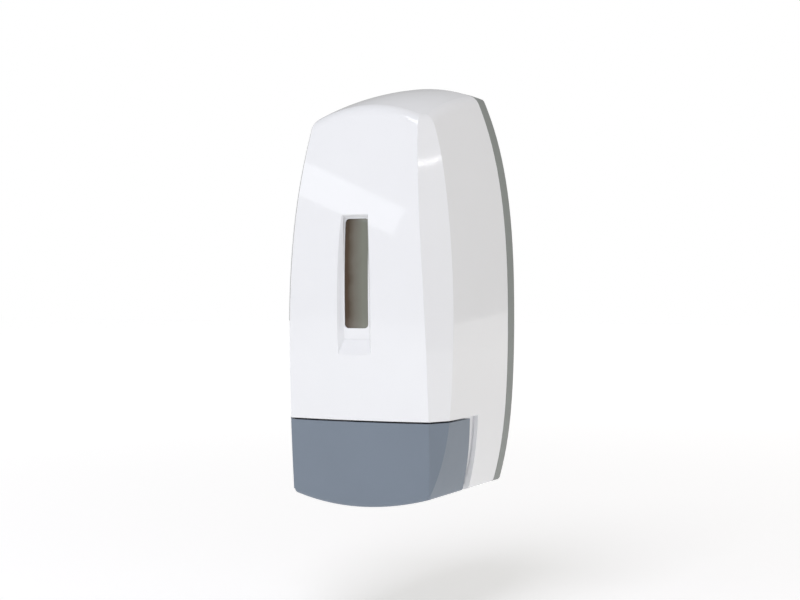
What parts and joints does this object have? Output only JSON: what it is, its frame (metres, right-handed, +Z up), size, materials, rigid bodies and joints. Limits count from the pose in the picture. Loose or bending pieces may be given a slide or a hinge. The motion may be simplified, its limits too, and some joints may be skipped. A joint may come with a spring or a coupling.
{
  "type": "wall mounted soap dispenser",
  "caption": "Wall mounted soap dispenser: a back plate holds a refillable tank and push pump under a hinged cover with a level window and a push bar.",
  "frame": {"origin": "centre of the four wall screw holes, on the wall plane", "axes": "+Z up, +Y into the wall, +X to the right as a person faces the dispenser"},
  "size_m": [0.095, 0.0817, 0.2048],
  "materials": {
    "white_shell": "glossy white ABS",
    "grey_bar": "satin grey ABS",
    "grey_shell": "satin grey ABS",
    "lens": "smoky clear polystyrene",
    "tank": "translucent polypropylene",
    "lid": "moulded polyethylene",
    "bracket": "moulded ABS",
    "pump_plastic": "moulded polypropylene",
    "plunger": "acetal",
    "nozzle": "moulded polypropylene",
    "seals": "matt nitrile rubber",
    "pad": "matt rubber",
    "steel": "stainless steel",
    "screws": "zinc plated steel",
    "lock": "moulded acetal"
  },
  "bodies": {
    "wall_unit": {"back_plate": "grey_shell", "tank_bracket": "bracket", "bracket_screws": "screws", "reservoir": "tank", "neck_gasket": "seals", "collar_nut": "pump_plastic", "pump_body": "pump_plastic", "inlet_valve": "seals", "gland_cap": "pump_plastic", "nozzle_tip": "nozzle", "outlet_valve": "seals", "hinge_pins": "steel"},
    "lock": {"lock_barrel": "lock", "lock_cam": "steel", "cam_screw": "screws"},
    "cover": {"front_cover": "white_shell", "window_lens": "lens", "guide_pins": "steel"},
    "bar": {"push_bar": "grey_bar", "press_pad": "pad"},
    "piston": {"plunger": "plunger", "piston_seal": "seals", "return_spring": "steel"},
    "lid": {"filler_lid": "lid", "lid_gasket": "seals"}
  },
  "joints": [
    {"name": "cover_hinge", "type": "hinge", "parent": "wall_unit", "child": "cover", "pos_m": [0, -0.013, -0.095], "axis": [1, 0, 0], "range_deg": [0, 65]},
    {"name": "bar_slide", "type": "slide", "parent": "cover", "child": "bar", "axis": [0, 1, 0], "range_m": [0, 0.0065], "stiffness_N_per_m": 600, "springref_m": -0.004},
    {"name": "plunger_slide", "type": "slide", "parent": "wall_unit", "child": "piston", "axis": [0, 1, 0], "range_m": [0, 0.0065], "deforming": ["return_spring"]},
    {"name": "lock_turn", "type": "hinge", "parent": "wall_unit", "child": "lock", "pos_m": [0, -0.0038, 0.09], "axis": [0, 0, -1], "range_deg": [0, 90]},
    {"name": "lid_lift", "type": "slide", "parent": "wall_unit", "child": "lid", "axis": [0, 0, 1], "range_m": [0, 0.005]}
  ],
  "couplings": [
    {"joint": "plunger_slide", "follows": "bar_slide", "ratio": 1}
  ]
}
